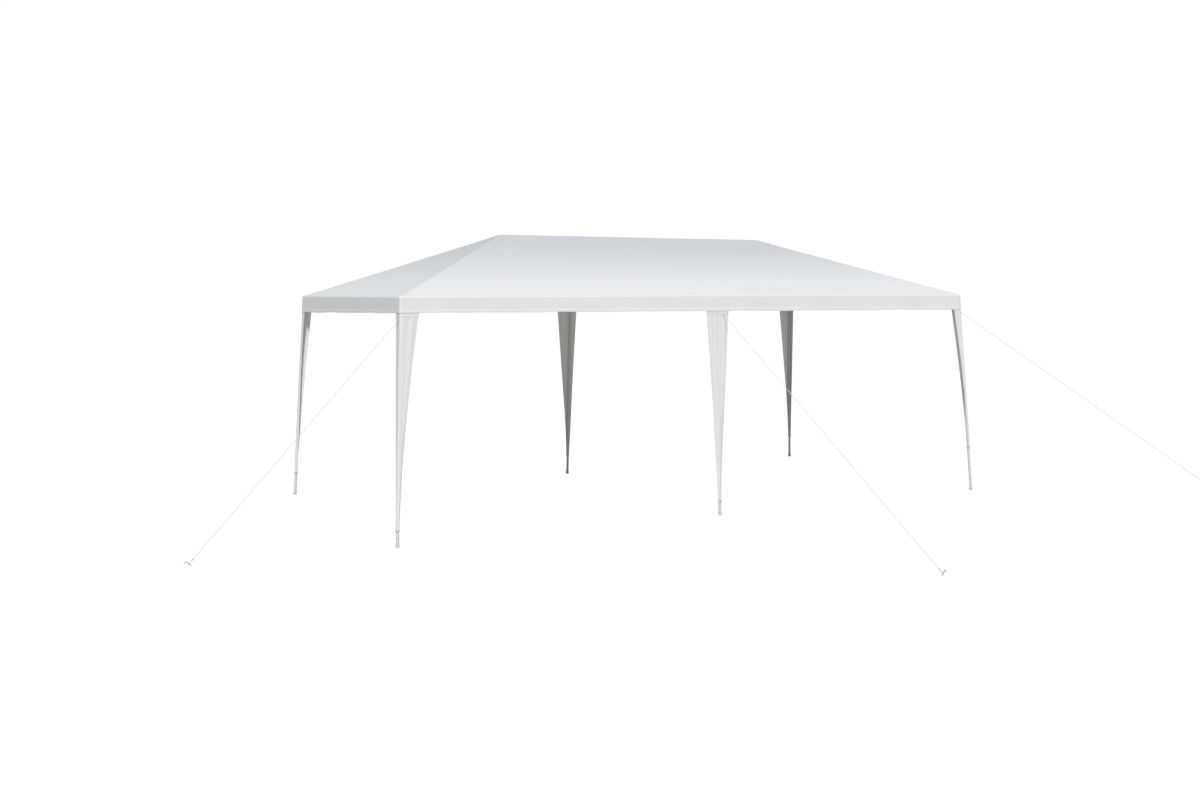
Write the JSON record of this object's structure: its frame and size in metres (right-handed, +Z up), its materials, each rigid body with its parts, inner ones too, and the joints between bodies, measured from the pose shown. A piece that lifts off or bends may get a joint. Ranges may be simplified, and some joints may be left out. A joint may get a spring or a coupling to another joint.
{
  "type": "party tent",
  "caption": "Open-sided party tent: a hipped sewn cover with a valance and tapered leg covers over a splayed frame of round tubes in moulded connectors, with guy ropes.",
  "frame": {"origin": "on the ground, at the middle of the underside of the foot cap of the front middle leg", "axes": "+Z up, +X along the long side to the right as seen from the front, +Y from the front side through the tent to the back"},
  "size_m": [9.6347, 5.9289, 2.565],
  "materials": {
    "cover": "woven white tarpaulin, soft sheen",
    "tube": "light grey powder coat",
    "connector": "moulded, white",
    "foot": "moulded, light grey",
    "rope": "twisted white cord",
    "peg": "zinc plated"
  },
  "bodies": {
    "root": {"leg_front_left": "tube", "leg_front_middle": "tube", "leg_front_right": "tube", "leg_back_left": "tube", "leg_back_middle": "tube", "leg_back_right": "tube", "foot_cap_front_left": "foot", "foot_cap_front_middle": "foot", "foot_cap_front_right": "foot", "foot_cap_back_left": "foot", "foot_cap_back_middle": "foot", "foot_cap_back_right": "foot", "eave_tube_front_left": "tube", "eave_tube_front_right": "tube", "eave_tube_back_left": "tube", "eave_tube_back_right": "tube", "eave_tube_left": "tube", "eave_tube_right": "tube", "hip_rafter_front_left": "tube", "hip_rafter_front_right": "tube", "hip_rafter_back_left": "tube", "hip_rafter_back_right": "tube", "middle_rafter_front": "tube", "middle_rafter_back": "tube", "ridge_tube_left": "tube", "ridge_tube_right": "tube", "corner_connector_front_left": "connector", "corner_connector_front_right": "connector", "corner_connector_back_left": "connector", "corner_connector_back_right": "connector", "side_connector_front": "connector", "side_connector_back": "connector", "ridge_end_connector_left": "connector", "ridge_end_connector_right": "connector", "ridge_middle_connector": "connector", "roof_panel_front": "cover", "roof_panel_back": "cover", "roof_panel_left": "cover", "roof_panel_right": "cover", "valance_front": "cover", "valance_back": "cover", "valance_left": "cover", "valance_right": "cover", "leg_cover_front_left": "cover", "leg_cover_front_middle": "cover", "leg_cover_front_right": "cover", "leg_cover_back_left": "cover", "leg_cover_back_middle": "cover", "leg_cover_back_right": "cover", "guy_rope_left": "rope", "guy_rope_front": "rope", "guy_rope_right": "rope", "ground_peg_left": "peg", "ground_peg_front": "peg", "ground_peg_right": "peg"}
  },
  "joints": []
}
